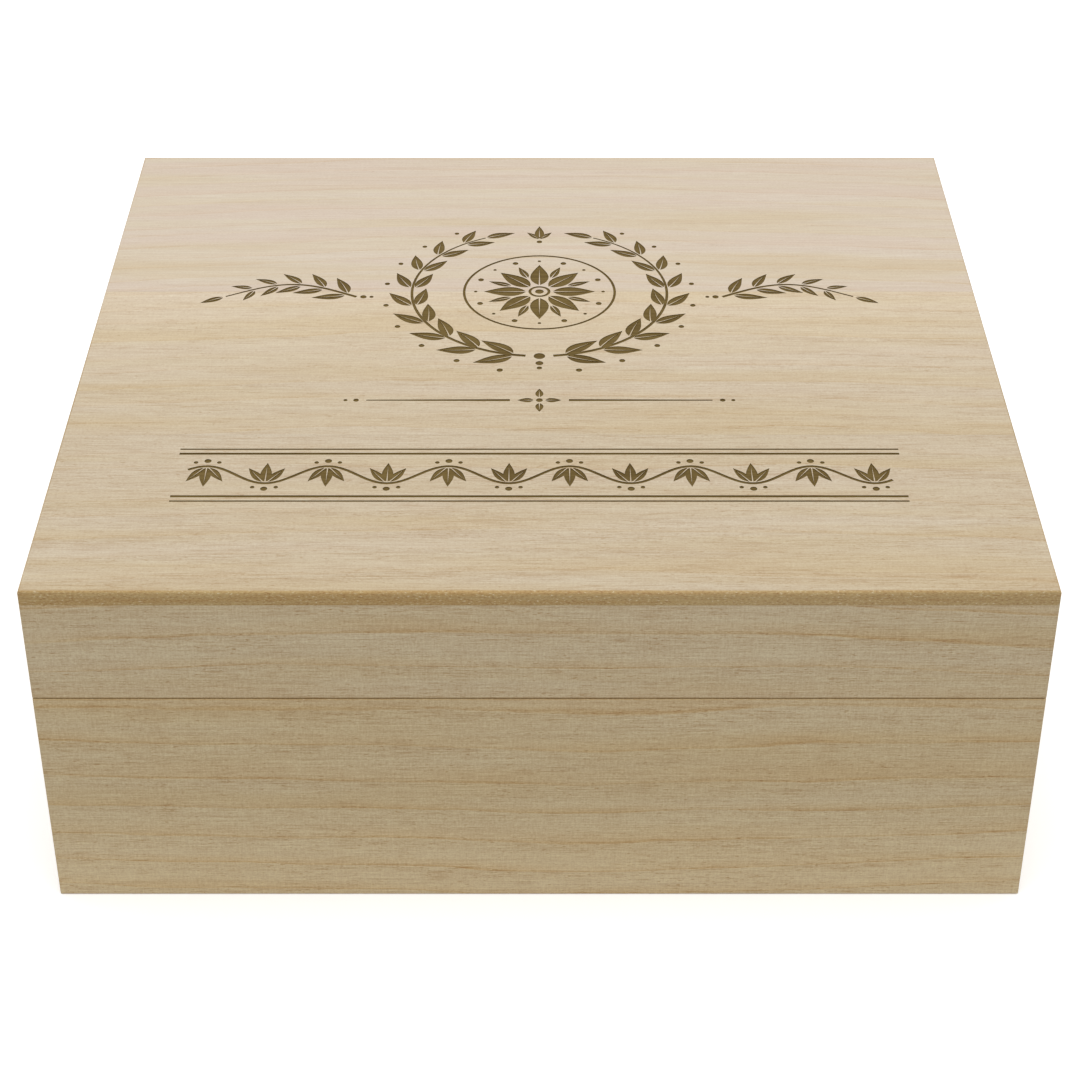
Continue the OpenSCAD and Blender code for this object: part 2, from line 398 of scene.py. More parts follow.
def pores_group():
    """Fine open pores that lie along the grain, thickest where a year begins, and the fibres between them."""
    group, given, out = new_group(
        "Pores and fibres",
        {"Grain": ORIGIN, "Phase": 0.0, "Line": 0.0, "Pore share": 0.3, "Seed": 0.0},
        {"Pores": 0.0, "Fibres": 0.0, "Streaks": 0.0, "Bands": 0.0, "Sanding": 0.0},
    )
    early_crowding, patch_crowding, line_crowding, share_crowding = 0.05, 0.22, 0.08, 0.1
    other_seed = 3.7
    marks_share, grit_share = 0.7, 0.3

    grain, seed = given["Grain"], given["Seed"]
    patches = minus(group, noise(group, grain, PORE_PATCHES, seed, 1.0), 0.5)
    crowd = smooth_step(group, given["Phase"], 0.5, 0.0, 0.0, early_crowding)
    crowd = times_plus(group, patches, patch_crowding, crowd)
    crowd = times_plus(group, given["Line"], line_crowding, crowd)
    crowd = times_plus(group, given["Pore share"], share_crowding, crowd)
    long_pores = noise(group, grain, LONG_PORES, seed, 1.0)
    short_pores = noise(group, grain, SHORT_PORES, plus(group, seed, other_seed), 0.0)
    pores = maths(group, "MAXIMUM", smooth_step(group, plus(group, long_pores, crowd), 0.56, 0.86),
                  smooth_step(group, plus(group, short_pores, crowd), 0.70, 0.90))
    fibres = 0.0
    for cells, share in FIBRES:
        fibres = times_plus(group, noise(group, grain, cells, seed, 1.0), share, fibres)
    sanding = times(group, noise(group, grain, SANDING_MARKS, seed, 1.0), marks_share)
    sanding = times_plus(group, noise(group, grain, GRIT, seed, 0.0), grit_share, sanding)
    feed(group, out, {
        "Pores": pores, "Fibres": fibres, "Sanding": sanding,
        "Streaks": noise(group, grain, GOLD_STREAKS, seed), "Bands": noise(group, grain, FINE_BANDS, seed),
    })
    return group


def board_faces_group():
    """Tells a board's cut ends and narrow edges from its broad faces, and finds the arrises between them."""
    group, given, out = new_group(
        "Board faces",
        {
            "Position": ORIGIN, "Normal": UPWARDS, "Along": ALONG_WIDTH, "Across": ALONG_DEPTH,
            "Low corner": ORIGIN, "High corner": (1.0, 1.0, 1.0), "Arris width": 1.0,
        },
        {"End": 0.0, "Edge": 0.0, "Arris": 0.0},
    )
    axes = (given["Along"], given["Across"])
    end, edge = (maths(group, "ABSOLUTE", dot(group, given["Normal"], axis)) for axis in axes)
    above_low = vector_maths(group, "SUBTRACT", given["Position"], given["Low corner"])
    below_high = vector_maths(group, "SUBTRACT", given["High corner"], given["Position"])
    x, y, z = parts(group, vector_maths(group, "MINIMUM", above_low, below_high))
    nearest = maths(group, "MINIMUM", x, y)
    furthest = maths(group, "MAXIMUM", x, y)
    second = maths(group, "MAXIMUM", nearest, maths(group, "MINIMUM", furthest, z))
    arris = smooth_step(group, second, 0.0, times(group, given["Arris width"], MM), 1.0, 0.0)
    feed(group, out, {"End": smooth_step(group, end, 0.5, 0.9), "Edge": edge, "Arris": arris})
    return group


def wood_group(wood):
    """The colour, height and roughness of a bare board, with every shared effect in it."""
    place_inputs = {
        "Along": ALONG_WIDTH, "Across": ALONG_DEPTH, "Low corner": ORIGIN, "High corner": (1.0, 1.0, 1.0),
    }
    ring_inputs = {
        "Pith across": -200.0, "Pith through": -80.0, "Ring width": 9.0, "Bow": 5.0, "Bow turn": -1000.0,
        "Waviness": 3.0, "Seed": 0.0,
    }
    look_inputs = {
        "Ring strength": 1.0, "Pore share": 0.3, "Gold": 0.5, "Gold swing": 0.3, "Tone": 1.0, "Rosiness": 0.0,
        "Contrast": 1.0, "Sap start": -1000.0, "Sap end": -1001.0, "Edge share": 0.0, "Sanding": 0.42,
    }
    colour_names = [name for name in wood.__annotations__ if name != "relief"]
    colour_inputs = {name.capitalize(): rgba(getattr(wood, name)) for name in colour_names}
    group, given, out = new_group(
        "Bare wood",
        {**place_inputs, **ring_inputs, **look_inputs, **colour_inputs},
        {"Colour": WHITE, "Height": 0.0, "Roughness": 0.0},
    )
    year_swing = 0.25
    late_share = 0.7
    raggedness = 0.3
    end_share = 0.75
    # Painted light and shade: a lift in brightness from one place to another across the grain, and a
    # darkening along each arris
    painted_bounce_and_lift_amount, arris_painted_shade = 0.2, -0.04
    fibre_swing, band_swing = 1.25, 0.13
    line_depth, fibre_height = 0.4, 0.5
    plain_roughness, fibre_roughness, end_roughness = 0.55, 0.16, 0.12

    place = group.nodes.new("ShaderNodeTexCoord").outputs
    axes = {"Along": given["Along"], "Across": given["Across"]}
    grain = use_group(group, shared_group("Grain position"), {"Position": place["Object"], **axes})["Grain"]
    rings = use_group(group, shared_group("Growth rings"), {
        "Grain": grain, **{name: given[name] for name in ring_inputs},
    })
    fine = use_group(group, shared_group("Pores and fibres"), {
        "Grain": grain, "Phase": rings["Phase"], "Line": rings["Line"],
        "Pore share": given["Pore share"], "Seed": given["Seed"],
    })
    faces = use_group(group, shared_group("Board faces"), {
        "Position": place["Object"], "Normal": place["Normal"],
        "Low corner": given["Low corner"], "High corner": given["High corner"], **axes,
    })
    contrast = given["Contrast"]
    ring_strength = times(group, given["Ring strength"], contrast)

    def tinted(colour, tint, *shares):
        """A colour that takes a tint to the product of the shares."""
        share = shares[0]
        for other in shares[1:]:
            share = times(group, share, other)
        return mix(group, share, colour, mix(group, 1.0, colour, given[tint], "MULTIPLY"))

    streaks, bands, fibres = fine["Streaks"], fine["Bands"], fine["Fibres"]
    tone = times_plus(group, minus(group, rings["Year"], 0.5), year_swing, streaks)
    gold = times_plus(group, minus(group, streaks, 0.5), given["Gold swing"], given["Gold"], clamp=True)
    colour = mix(group, gold, given["Pale"], given["Golden"])
    colour = tinted(colour, "Warm", smooth_step(group, tone, 0.42, 0.74))
    colour = tinted(colour, "Rosy", smooth_step(group, tone, 0.56, 0.30), given["Rosiness"])
    colour = tinted(colour, "Late", rings["Late wood"], late_share, ring_strength)
    strands = smooth_step(group, fibres, 0.58, 0.40, 0.45, 1.15)
    colour = tinted(colour, "Line", rings["Line"], strands, ring_strength)
    colour = tinted(colour, "Pore", fine["Pores"], contrast)

    ragged = times_plus(group, minus(group, bands, 0.5), raggedness, faces["Edge"])
    edge_share = times(group, smooth_step(group, ragged, 0.0, 0.28), given["Edge share"])
    torn = noise(group, grain, TORN_WOOD, given["Seed"])
    sawn = tinted(given["Sawn"], "Line", smooth_step(group, bands, 0.42, 0.58))
    sawn = tinted(sawn, "Pore", smooth_step(group, torn, 0.48, 0.34))
    sawn = mix(group, smooth_step(group, torn, 0.57, 0.72), sawn, given["Speck"])
    colour = mix(group, edge_share, colour, sawn)
    colour = mix(group, times(group, faces["End"], end_share), colour, given["End"])

    # Painted light on the front wall: the wood gets lighter towards the bottom, where the white floor throws
    # light back. On the lid's middle board the same lift makes the wood lighter towards the back.
    painted_bounce_and_lift = smooth_step(group, parts(group, grain)["Y"], given["Sap start"], given["Sap end"])
    shade = times_plus(group, painted_bounce_and_lift, painted_bounce_and_lift_amount, given["Tone"])
    # Painted shade: the wood is darker along every arris, which also darkens the seam between base and lid.
    shade = times_plus(group, faces["Arris"], arris_painted_shade, shade)
    change = 0.0
    for effect, swing in ((fibres, fibre_swing), (bands, band_swing), (fine["Sanding"], given["Sanding"])):
        change = times_plus(group, minus(group, effect, 0.5), swing, change)
    change = times(group, change, contrast)
    shades = [times_plus(group, change, share, shade) for share in FIBRE_SHARES]
    colour = mix(group, 1.0, colour, vector(group, *shades), "MULTIPLY")

    sunk = maths(group, "MAXIMUM", fine["Pores"], times(group, rings["Line"], line_depth))
    height = minus(group, times(group, fibres, fibre_height), sunk)
    roughness = times_plus(group, fibres, fibre_roughness, plain_roughness)
    roughness = times_plus(group, faces["End"], end_roughness, roughness)
    feed(group, out, {"Colour": colour, "Height": height, "Roughness": roughness})
    return group


def worked_metal_group():
    """Brushed lines, tarnish and rubbed spots on brass."""
    group, given, out = new_group(
        "Worked brass",
        {"Brushing": (1.0, 1.0, 1.0), "Bright": WHITE, "Dull": BLACK, "Seed": 0.0},
        {"Colour": WHITE, "Height": 0.0, "Roughness": 0.0},
    )
    line_shade, darkest = 0.3, 0.85
    plain_roughness, line_roughness, tarnish_roughness = 0.2, 0.2, 0.22

    place = group.nodes.new("ShaderNodeTexCoord").outputs["Object"]
    lines = noise(group, place, given["Brushing"], given["Seed"], 3.0, 0.6)
    blooms = noise(group, place, TARNISH_BLOOMS, given["Seed"], 4.0, 0.6)
    tarnish = smooth_step(group, blooms, 0.42, 0.72)
    colour = mix(group, tarnish, given["Bright"], given["Dull"])
    shade = times_plus(group, lines, line_shade, darkest)
    colour = mix(group, 1.0, colour, vector(group, shade, shade, shade), "MULTIPLY")
    roughness = times_plus(group, lines, line_roughness, plain_roughness)
    roughness = times_plus(group, tarnish, tarnish_roughness, roughness)
    feed(group, out, {"Colour": colour, "Height": lines, "Roughness": roughness})
    return group


SHARED_GROUPS = {
    "Grain position": grain_position_group,
    "Growth rings": growth_rings_group,
    "Pores and fibres": pores_group,
    "Board faces": board_faces_group,
    "Worked brass": worked_metal_group,
}


def shared_group(name):
    """The group of that name, which is built when it is first asked for."""
    return bpy.data.node_groups.get(name) or SHARED_GROUPS[name]()


# Materials


def new_material(name):
    """An empty node material and its Principled shader."""
    material = bpy.data.materials.new(name)
    material.use_nodes = True
    return material, material.node_tree, material.node_tree.nodes["Principled BSDF"]


def relief(tree, height, depth):
    """Normals of a surface that is raised by a height from 0 to 1, with depth in metres."""
    return add_node(tree, "ShaderNodeBump", {"Height": height, "Distance": depth, "Strength": 1.0})["Normal"]


def sawn_from(**values):
    """Where a board was sawn from its log, and its look, by the names of the inputs of Bare wood."""
    return {name.replace("_", " ").capitalize(): value for name, value in values.items()}


# The pith's place is in the board's own directions, across and through, and lengths are in millimetres.
# The lid's rails continue the grain of the walls below them.
# The front wall's lift from 46 mm down to -6 mm is painted light thrown back from the floor onto its lower
# part.
FRONT_LOG = sawn_from(
    pith_across=420.0, pith_through=60.0, ring_width=11.5, bow=-5.0, bow_turn=84.0, waviness=3.2,
    gold=1.0, contrast=1.1, sap_start=46.0, sap_end=-6.0, seed=3.0)
BACK_LOG = sawn_from(
    pith_across=-310.0, pith_through=90.0, ring_width=10.5, bow=3.5, bow_turn=55.0, waviness=4.0,
    gold=0.9, seed=11.0)
LEFT_LOG = sawn_from(
    pith_across=330.0, pith_through=-120.0, ring_width=9.5, bow=3.0, bow_turn=60.0, waviness=4.0,
    gold=0.8, seed=17.0)
RIGHT_LOG = sawn_from(
    pith_across=-260.0, pith_through=-70.0, ring_width=12.0, bow=4.0, bow_turn=40.0, waviness=3.0,
    gold=1.0, seed=23.0)
BOTTOM_LOG = sawn_from(
    pith_across=-420.0, pith_through=-90.0, ring_width=10.0, bow=6.0, bow_turn=0.0, waviness=5.0,
    gold=0.6, seed=31.0)
WALL_LOGS = {
    "base_front_board": FRONT_LOG, "lid_front_rail": {**FRONT_LOG, **sawn_from(gold=0.86, tone=0.975)},
    "base_back_board": BACK_LOG, "lid_back_rail": BACK_LOG,
    "base_left_board": LEFT_LOG, "lid_left_rail": LEFT_LOG,
    "base_right_board": RIGHT_LOG, "lid_right_rail": RIGHT_LOG,
}
PANEL_LOGS = {
    "lid_panel_front_board": sawn_from(
        pith_across=400.0, pith_through=-60.0, ring_width=10.5, bow=-5.0, waviness=4.0, ring_strength=0.5,
        sanding=0.22, gold=0.53, gold_swing=0.7, tone=0.864, rosiness=0.2, contrast=0.78, pore_share=0.55,
        seed=53.0),
    "lid_panel_middle_board": sawn_from(
        pith_across=480.0, pith_through=-90.0, ring_width=9.5, bow=-6.0, waviness=4.5, ring_strength=0.55,
        sanding=0.22, gold=0.46, gold_swing=0.7, tone=0.875, sap_start=-50.0, sap_end=105.0, rosiness=0.3,
        contrast=0.75, seed=47.0),
    "lid_panel_rear_board": sawn_from(
        pith_across=520.0, pith_through=-60.0, ring_width=7.5, bow=-8.0, waviness=4.0, sanding=0.11,
        gold=0.1, gold_swing=0.9, tone=0.915, rosiness=0.9, contrast=0.55, pore_share=-0.4, seed=41.0),
}

# How strongly the narrow edges of a board take the look of sawn wood. On the walls these edges are the rims,
# where the darker sawn colour paints shade into the seam between base and lid.
WALL_RIM_SEAM_SHADE, PANEL_EDGE_SHARE = 0.4, 0.85


def wood_material(settings, node, along, across, board_log, edge_share=0.0):
    """Bare wood for one board, with its grain along one direction."""
    group = bpy.data.node_groups.get("Bare wood") or wood_group(settings)
    material, tree, shader = new_material("wood_of_" + node)
    low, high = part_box(node)
    look = use_group(tree, group, {
        "Along": along, "Across": across, "Low corner": low, "High corner": high, "Edge share": edge_share,
        **board_log,
    })
    feed(tree, shader, {
        "Base Color": look["Colour"], "Roughness": look["Roughness"], "Specular IOR Level": 0.3,
        "Normal": relief(tree, look["Height"], settings.relief),
    })
    return material


def scorched_material(settings):
    """The floor and sides of the engraving, browned by heat, with streaks along the grain."""
    material, tree, shader = new_material("scorched_wood")
    streak_share, depth = 0.6, 0.06 * MM
    place = tree.nodes.new("ShaderNodeTexCoord").outputs["Object"]
    streaks = noise(tree, place, SCORCHED_STREAKS, 5.0, 3.0, 0.6)
    blotches = noise(tree, place, SCORCHED_BLOTCHES, 9.0)
    level = times_plus(tree, blotches, 1 - streak_share, times(tree, streaks, streak_share))
    darkness = smooth_step(tree, level, 0.38, 0.66)
    colour = mix(tree, darkness, rgba(settings.scorch), rgba(settings.scorch_edge))
    feed(tree, shader, {
        "Base Color": colour, "Roughness": times_plus(tree, streaks, 0.2, 0.7), "Specular IOR Level": 0.2,
        "Normal": relief(tree, streaks, depth),
    })
    return material


def white_in_view(tree, seen, felt):
    """A colour that the camera and reflections see, and another that lights the box."""
    rays = tree.nodes.new("ShaderNodeLightPath").outputs
    mirrored_or_clear = maths(tree, "MAXIMUM", rays["Is Glossy Ray"], rays["Is Transmission Ray"])
    return mix(tree, maths(tree, "MAXIMUM", rays["Is Camera Ray"], mirrored_or_clear), felt, seen)


def brass_material(settings, name, brushing, seed):
    """Brass that was brushed along one direction: brushing holds lines per metre along each axis."""
    material, tree, shader = new_material(name)
    depth = 0.02 * MM
    look = use_group(tree, shared_group("Worked brass"), {
        "Brushing": brushing, "Bright": rgba(settings.bright), "Dull": rgba(settings.dull), "Seed": seed,
    })
    feed(tree, shader, {
        "Base Color": look["Colour"], "Roughness": look["Roughness"], "Metallic": 1.0,
        "Normal": relief(tree, look["Height"], depth),
    })
    return material


def dress(node, material):
    """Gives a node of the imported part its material."""
    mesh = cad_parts[node].data
    mesh.materials.clear()
    mesh.materials.append(material)


# The ornament on the lid, as flat outlines in millimetres from the lid's centre


def blend(start, end, t):
    """Goes from start to end as t goes from 0 to 1."""
    return start + (end - start) * t


def turned(point, angle):
    """A point turned about the origin."""
    x, y = point
    return (x * math.cos(angle) - y * math.sin(angle), x * math.sin(angle) + y * math.cos(angle))


def placed(points, origin, angle):
    """Points turned by an angle and then moved to an origin."""
    return [(x + origin[0], y + origin[1]) for x, y in (turned(point, angle) for point in points)]


def mirrored(outlines):
    """The outlines, and the same on the other side of the lid's middle line."""
    return outlines + [[(-x, y) for x, y in outline] for outline in outlines]


def on_circle(centre, radius, angle):
    """The point of a circle at an angle."""
    return (centre[0] + radius * math.cos(angle), centre[1] + radius * math.sin(angle))


def is_inside(x, y, outline):
    """Whether a point lies inside an outline."""
    crossings = 0
    for (x0, y0), (x1, y1) in zip(outline, outline[1:] + outline[:1]):
        if (y0 > y) != (y1 > y) and x < x0 + (x1 - x0) * (y - y0) / (y1 - y0):
            crossings += 1
    return crossings % 2 == 1


def dot_outline(centre, radius, corners=20):
    """A round dot."""
    return [on_circle(centre, radius, 2 * math.pi * i / corners) for i in range(corners)]


def ribbon(points, width):
    """The outline of a line through the points. It tapers where its width is a function of 0 to 1."""
    left, right = [], []
    last = len(points) - 1
    for i, (x, y) in enumerate(points):
        before, after = points[max(i - 1, 0)], points[min(i + 1, last)]
        heading = math.atan2(after[1] - before[1], after[0] - before[0])
        half = (width(i / last) if callable(width) else width) / 2
        left.append((x - half * math.sin(heading), y + half * math.cos(heading)))
        right.append((x + half * math.sin(heading), y - half * math.cos(heading)))
    return right + left[::-1]


def ring_outlines(centre, radius, width):
    """A ring as two half rings that meet end to end."""
    steps = 36
    halves = []
    for start in (0, math.pi):
        angles = [start + math.pi * i / steps for i in range(steps + 1)]
        outer = [on_circle(centre, radius + width / 2, angle) for angle in angles]
        inner = [on_circle(centre, radius - width / 2, angle) for angle in reversed(angles)]
        halves.append(outer + inner)
    return halves


def leaf_outlines(base, heading, length, width, gap, bend=0.0):
    """A pointed leaf with a bare slit along its midrib, which bends sideways by a share of its length."""
    steps = 12
    fullness = 0.72
    slit_end = 0.82
    halves = []
    for side in (1, -1):
        rib, margin = [], []
        for i in range(steps + 1):
            t = i / steps
            x, middle = length * t, bend * length * t * t
            swell = width / 2 * math.sin(math.pi * t ** fullness)
            clear = gap / 2 * (1 - t / slit_end)
            rib.append((x, middle + side * clear))
            margin.append((x, middle + side * max(swell, clear, 0.0)))
        halves.append(placed(rib + margin[:0:-1], base, heading))
    return halves


def wreath_outlines(engraving):
    """Two leafy stems that rise from the front of a circle and almost meet at its back."""
    centre = (0.0, engraving.wreath_back)
    radius, count = engraving.wreath_radius, engraving.wreath_leaves
    start, end = math.radians(-84), math.radians(64)
    steps = 48
    stem_taper, leaf_taper, berry_taper = (1.25, 0.55), (0.31, 0.22), (1.05, 0.8)
    first_leaf, slimness, bend = 0.35, 0.38, 0.1
    berry_reach, berry_turn = 0.72, 0.035
    tip_gap, tip_length, tip_width, tip_bend = 0.012, 0.24, 0.085, 0.12
    stem = [on_circle(centre, radius, blend(start, end, i / steps)) for i in range(steps + 1)]
    half = [ribbon(stem, lambda t: engraving.line * blend(*stem_taper, t))]
    clear = engraving.line / 2 + engraving.gap
    for i in range(count):
        t = (i + first_leaf) / count
        angle = blend(start, end, t)
        along = angle + math.pi / 2
        length = radius * blend(*leaf_taper, t)
        for side, spread in ((1, 0.62), (-1, 0.56)):
            base = on_circle(centre, radius + side * clear, angle)
            half += leaf_outlines(
                base, along - side * spread, length, length * slimness, engraving.gap, side * bend)
        berry = on_circle(centre, radius + clear + length * berry_reach, angle + berry_turn)
        half.append(dot_outline(berry, blend(*berry_taper, t)))
    tip = on_circle(centre, radius, end + tip_gap)
    half += leaf_outlines(
        tip, end + math.pi / 2, radius * tip_length, radius * tip_width, engraving.gap, tip_bend)
    front, back = centre[1] - radius, centre[1] + radius
    middle = [dot_outline((0.0, front), 1.9, 28)]
    middle += [dot_outline((0.0, front - drop), size) for drop, size in ((4.6, 1.3), (7.7, 0.9))]
    sprout, sprout_dot = (0.0, back - 5.0), (0.0, back - 7.4)
    for turn, length in ((0.0, 9.5), (0.75, 6.5), (-0.75, 6.5)):
        middle += leaf_outlines(sprout, math.pi / 2 + turn, length, length * 0.36, engraving.gap)
    middle.append(dot_outline(sprout_dot, 1.0))
    return mirrored(half) + middle


def flower_outlines(engraving):
    """A flower with long and short petals, dots beyond them and a fine ring round it."""
    centre = (0.0, engraving.wreath_back)
    heart, heart_ring, dots, outer_ring = 1.5, 3.3, 22.0, 26.0
    outlines = [dot_outline(centre, heart)] + ring_outlines(centre, heart_ring, engraving.line * 0.9)
    for i in range(engraving.petals):
        angle = 2 * math.pi * i / engraving.petals + math.pi / 2
        between = angle + math.pi / engraving.petals
        for turn, start, length, width, gap in (
            (angle, 4.7, 14.5, 6.4, engraving.gap * 1.2),
            (between, 10.6, 8.4, 2.7, engraving.gap),
        ):
            outlines += leaf_outlines(on_circle(centre, start, turn), turn, length, width, gap)
        for turn, size in ((between, 1.0), (angle, 0.6)):
            outlines.append(dot_outline(on_circle(centre, dots, turn), size))
    return outlines + ring_outlines(centre, outer_ring, engraving.line * 0.8)


def sprig_outlines(engraving):
    """A leafy twig on each side of the wreath, ending in a bud."""
    start, foot_height = engraving.wreath_radius + 19, engraving.wreath_back - 2
    reach, rise, wave, wave_start = 45.0, 7.0, 1.15, -0.08
    steps = 36
    spread, slimness, bend = 0.78, 0.34, 0.12

    def place(t):
        return (start + reach * t, foot_height + rise * math.sin(math.pi * (t * wave + wave_start)))

    def heading(t):
        near = 0.01
        (x0, y0), (x1, y1) = place(t - near), place(t + near)
        return math.atan2(y1 - y0, x1 - x0)

    twig = [place(i / steps) for i in range(steps + 1)]
    half = [ribbon(twig, lambda t: engraving.line * blend(1.1, 0.6, t))]
    clear = engraving.line / 2 + engraving.gap
    for t, length in ((0.08, 11.5), (0.26, 10.5), (0.44, 9.5), (0.62, 8.5), (0.80, 7.5)):
        turn = heading(t)
        for side in (1, -1):
            foot = placed([(0.0, side * clear)], place(t), turn)[0]
            half += leaf_outlines(
                foot, turn + side * spread, length, length * slimness, engraving.gap, -side * bend)
    half += leaf_outlines(place(1.02), heading(1.0), 8.5, 3.0, engraving.gap)
    half += [dot_outline((start - drop, place(0)[1]), size) for drop, size in ((2.4, 1.1), (5.2, 0.7))]
    return mirrored(half)


def divider_outlines(engraving):
    """A short tapering line with a small flower in its middle, between the wreath and the border."""
    height = -36.0
    centre = (0.0, height)
    heart, petal_start, petal_length, petal_width = 1.1, 1.9, 5.2, 2.6
    line_start, line_end, lengths = 9.5, 55.7, 11
    outlines = [dot_outline(centre, heart)]
    for i in range(4):
        angle = math.pi / 2 * i
        outlines += leaf_outlines(
            on_circle(centre, petal_start, angle), angle, petal_length, petal_width, engraving.gap)
    line = [(blend(line_start, line_end, i / lengths), height) for i in range(lengths + 1)]
    half = [ribbon(line, lambda t: engraving.line * blend(1.1, 0.5, t))]
    half += [dot_outline((x, height), size) for x, size in ((59.0, 0.9), (62.4, 0.65))]
    return outlines + mirrored(half)


def frieze_outlines(engraving):
    """A border with a leafy vine between double rules."""
    half_width, middle = engraving.frieze_width / 2, -engraving.frieze_front
    waves = engraving.frieze_waves
    rule_gap, thin = 2.6, 0.65
    outlines = []
    # A rule in one length would be so slender that the triangulation loses it
    lengths = 32
    for side in (1, -1):
        for offset, width in ((0.0, engraving.line), (rule_gap, engraving.line * thin)):
            height = middle + side * (engraving.frieze_height / 2 + offset)
            rule = [(blend(-half_width, half_width, i / lengths), height) for i in range(lengths + 1)]
            outlines.append(ribbon(rule, width))
    swing = engraving.frieze_height * 0.2
    wave = engraving.frieze_width / waves
    inset = wave * 0.1
    foot_spread, slimness, dot_gap = 1.4, 0.34, 3.0

    def vine(x):
        return middle + swing * math.sin(2 * math.pi * (x + half_width) / wave)

    steps = waves * 24
    xs = [blend(inset - half_width, half_width - inset, i / steps) for i in range(steps + 1)]
    outlines.append(ribbon([(x, vine(x)) for x in xs], engraving.line))
    clear = engraving.line / 2 + engraving.gap
    for i in range(2 * waves):
        crest = 1 if i % 2 == 0 else -1
        x = -half_width + wave * (i + 0.5) / 2
        for turn, length in ((1.0, 9.0), (math.pi - 1.0, 9.0), (math.pi / 2, 10.5)):
            foot = (x + foot_spread * math.cos(turn), vine(x) - crest * clear)
            outlines += leaf_outlines(foot, -crest * turn, length, length * slimness, engraving.gap)
        for shift, size in ((0.0, 1.1), (-3.6, 0.7), (3.6, 0.7)):
            outlines.append(dot_outline((x + shift, vine(x + shift) + crest * dot_gap), size))
    return outlines


def ornament_outlines(engraving):
    """All the outlines of the ornament."""
    makers = (wreath_outlines, flower_outlines, sprig_outlines, divider_outlines, frieze_outlines)
    return [outline for maker in makers for outline in maker(engraving)]


def engraving_cutter(outlines, top, depth):
    """A closed solid that stands in the lid's face where the outlines are, merged where they overlap."""
    rise = 1.0 * MM
    closeness = 1e-4
    points, loops = [], []
    for outline in outlines:
        loops.append(list(range(len(points), len(points) + len(outline))))
        points += [Vector(point) for point in outline]
    corners, _, triangles, _, _, _ = delaunay_2d_cdt(points, [], loops, 0, closeness)
    fields = [(min(x for x, _ in o), max(x for x, _ in o), min(y for _, y in o), max(y for _, y in o), o)
              for o in outlines]
    kept = []
    for triangle in triangles:
        x, y = (sum(corners[i][axis] for i in triangle) / 3 for axis in (0, 1))
        if any(x0 < x < x1 and y0 < y < y1 and is_inside(x, y, o) for x0, x1, y0, y1, o in fields):
            kept.append(tuple(triangle))
    count = len(corners)
    sides = {(a, b) for triangle in kept for a, b in zip(triangle, triangle[1:] + triangle[:1])}
    rim = [(a, b) for a, b in sides if (b, a) not in sides]
    places = [(x * MM, y * MM, height) for height in (top - depth, top + rise) for x, y in corners]
    faces = [triangle[::-1] for triangle in kept]
    faces += [tuple(i + count for i in triangle) for triangle in kept]
    faces += [(a, b, b + count, a + count) for a, b in sorted(rim)]
    mesh = bpy.data.meshes.new("engraving_cutter")
    mesh.from_pydata(places, [], faces)
    return mesh


def engraved_board(scene, node, bare, scorched, cutter):
    """A copy of a board of the lid's panel with the ornament cut into it."""
    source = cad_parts[node].data.copy()
    source.materials.clear()
    source.materials.append(bare)
    source.materials.append(scorched)
    board = bpy.data.objects.new("engraved_" + node, source)
    scene.collection.objects.link(board)
    weld = board.modifiers.new("weld", "WELD")
    weld.merge_threshold = 0.001 * MM
    cut = board.modifiers.new("cut", "BOOLEAN")
    cut.operation = "DIFFERENCE"
    cut.solver = "EXACT"
    cut.material_mode = "TRANSFER"
    cut.object = cutter
    evaluated = board.evaluated_get(bpy.context.evaluated_depsgraph_get())
    result = bpy.data.meshes.new_from_object(evaluated)
    board.modifiers.clear()
    board.data = result
    return board


# Operators: one for each group of pieces, and one for the stage


class KEEPSAKE_OT_dress_walls(Operator):
    """Give the walls of the base and the rails of the lid their bare wood"""

    bl_idname = "keepsake.dress_walls"
    bl_label = "Dress the walls"

    def execute(self, context):
        wood = context.scene.keepsake_wood
        for node, board_log in WALL_LOGS.items():
            along = ALONG_DEPTH if "left" in node or "right" in node else ALONG_WIDTH
            # The walls' rims take the darker sawn colour, which is painted shade for the seam between base
            # and lid.
            dress(node, wood_material(wood, node, along, UPWARDS, board_log, WALL_RIM_SEAM_SHADE))
        return {"FINISHED"}


class KEEPSAKE_OT_dress_bottom(Operator):
    """Give the bottom panel its bare wood"""

    bl_idname = "keepsake.dress_bottom"
    bl_label = "Dress the bottom panel"

    def execute(self, context):
        wood = context.scene.keepsake_wood
        dress("bottom_panel", wood_material(wood, "bottom_panel", ALONG_WIDTH, ALONG_DEPTH, BOTTOM_LOG))
        return {"FINISHED"}


class KEEPSAKE_OT_engrave_lid(Operator):
    """Cut the ornament into the boards of the lid's panel and scorch it"""

    bl_idname = "keepsake.engrave_lid"
    bl_label = "Engrave the lid"

    def execute(self, context):
        scene = context.scene
        wood, engraving = scene.keepsake_wood, scene.keepsake_engraving
        scorched = scorched_material(engraving)
        outlines = ornament_outlines(in_millimetres(engraving))
        cutter_mesh = engraving_cutter(outlines, BOX_HIGH.z, engraving.depth)
        cutter_mesh.materials.append(scorched)
        cutter = bpy.data.objects.new("engraving_cutter", cutter_mesh)
        scene.collection.objects.link(cutter)
        for node, board_log in PANEL_LOGS.items():
            bare = wood_material(wood, node, ALONG_WIDTH, ALONG_DEPTH, board_log, PANEL_EDGE_SHARE)
            board = engraved_board(scene, node, bare, scorched, cutter)
            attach(board, "lid")
            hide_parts(node)
        bpy.data.objects.remove(cutter)
        bpy.data.meshes.remove(cutter_mesh)
        return {"FINISHED"}


